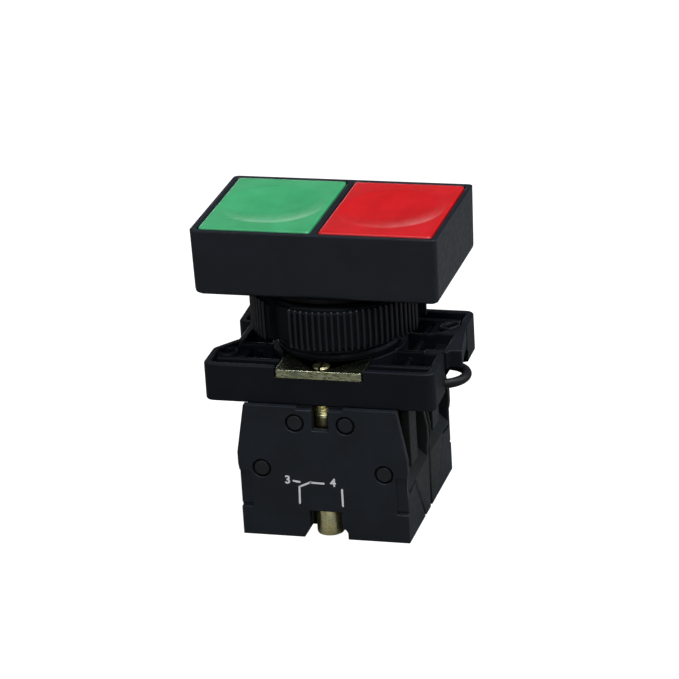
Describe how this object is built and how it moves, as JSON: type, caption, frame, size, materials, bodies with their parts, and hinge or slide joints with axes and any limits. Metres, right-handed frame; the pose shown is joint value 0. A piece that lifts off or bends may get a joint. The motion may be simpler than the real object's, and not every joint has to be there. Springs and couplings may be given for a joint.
{
  "type": "double push button",
  "caption": "Flush double push button with green and red dished caps, a ribbed ring nut, a locking collar and stacked screw-terminal contact blocks.",
  "frame": {"origin": "centre of the round panel hole, on the underside of the bezel (the panel's front face)", "axes": "+Z out of the panel towards the operator, +X along the bezel from the green button to the red one, +Y towards the rear contact block"},
  "size_m": [0.045, 0.0316, 0.0556],
  "materials": {
    "bezel_plastic": "satin black moulded bezel with a fine grain",
    "body_plastic": "dark grey-black glass-filled plastic",
    "block_plastic": "slate black moulded plastic",
    "green_plastic": "satin green button cap",
    "red_plastic": "satin red button cap",
    "white_plastic": "natural white slide plastic",
    "gasket_rubber": "black sealing rubber",
    "spring_steel": "bright drawn wire",
    "yellow_zinc": "yellow-passivated zinc plate on steel",
    "contact_brass": "stamped brass strip"
  },
  "bodies": {
    "switch_body": {"bezel": "bezel_plastic", "operator_body": "body_plastic", "panel_gasket": "gasket_rubber", "green_return_spring": "spring_steel", "red_return_spring": "spring_steel", "mounting_collar": "body_plastic", "front_nut_plate": "yellow_zinc", "rear_nut_plate": "yellow_zinc", "front_fixing_screw": "yellow_zinc", "rear_fixing_screw": "yellow_zinc", "front_block_housing": "block_plastic", "front_block_cover": "block_plastic", "front_plunger_spring": "spring_steel", "front_terminal_strips": "contact_brass", "front_terminal_screws": "yellow_zinc", "front_wire_clamps": "yellow_zinc", "rear_block_housing": "block_plastic", "rear_block_cover": "block_plastic", "rear_plunger_spring": "spring_steel", "rear_terminal_strips": "contact_brass", "rear_terminal_screws": "yellow_zinc", "rear_wire_clamps": "yellow_zinc"},
    "ring_nut": {"ring_nut": "body_plastic"},
    "lock_lever": {"lock_lever": "body_plastic"},
    "green_press": {"green_button": "green_plastic", "green_pusher": "white_plastic"},
    "red_press": {"red_button": "red_plastic", "red_pusher": "white_plastic"},
    "front_plunger": {"front_plunger": "white_plastic"},
    "rear_plunger": {"rear_plunger": "white_plastic"},
    "front_bridge": {"front_contact_bridge": "contact_brass", "front_contact_spring": "spring_steel"},
    "rear_bridge": {"rear_contact_bridge": "contact_brass", "rear_contact_spring": "spring_steel"}
  },
  "joints": [
    {"name": "ring_nut_turn", "type": "hinge", "parent": "switch_body", "child": "ring_nut", "pos_m": [0, 0, -0.00525], "axis": [0, 0, 1], "continuous": true},
    {"name": "lock_lever_swing", "type": "hinge", "parent": "switch_body", "child": "lock_lever", "pos_m": [0, 0, -0.0181], "axis": [0, 0, 1], "range_deg": [0, 12]},
    {"name": "green_button_press", "type": "slide", "parent": "switch_body", "child": "green_press", "axis": [0, 0, -1], "range_m": [0, 0.0034], "stiffness_N_per_m": 400, "springref_m": -0.001, "deforming": ["green_return_spring"]},
    {"name": "red_button_press", "type": "slide", "parent": "switch_body", "child": "red_press", "axis": [0, 0, -1], "range_m": [0, 0.0034], "stiffness_N_per_m": 400, "springref_m": -0.001, "deforming": ["red_return_spring"]},
    {"name": "front_plunger_slide", "type": "slide", "parent": "switch_body", "child": "front_plunger", "axis": [0, 0, -1], "range_m": [0, 0.0034], "deforming": ["front_plunger_spring"]},
    {"name": "rear_plunger_slide", "type": "slide", "parent": "switch_body", "child": "rear_plunger", "axis": [0, 0, -1], "range_m": [0, 0.0034], "deforming": ["rear_plunger_spring"]},
    {"name": "front_contact_slide", "type": "slide", "parent": "switch_body", "child": "front_bridge", "axis": [0, 0, -1], "range_m": [0, 0.0017], "deforming": ["front_contact_spring"]},
    {"name": "rear_contact_slide", "type": "slide", "parent": "switch_body", "child": "rear_bridge", "axis": [0, 0, -1], "range_m": [0, 0.0017], "deforming": ["rear_contact_spring"]}
  ],
  "couplings": [
    {"joint": "front_plunger_slide", "follows": "green_button_press", "ratio": 1},
    {"joint": "front_contact_slide", "follows": "green_button_press", "ratio": 0.5},
    {"joint": "rear_plunger_slide", "follows": "red_button_press", "ratio": 1},
    {"joint": "rear_contact_slide", "follows": "red_button_press", "ratio": 0.5}
  ]
}
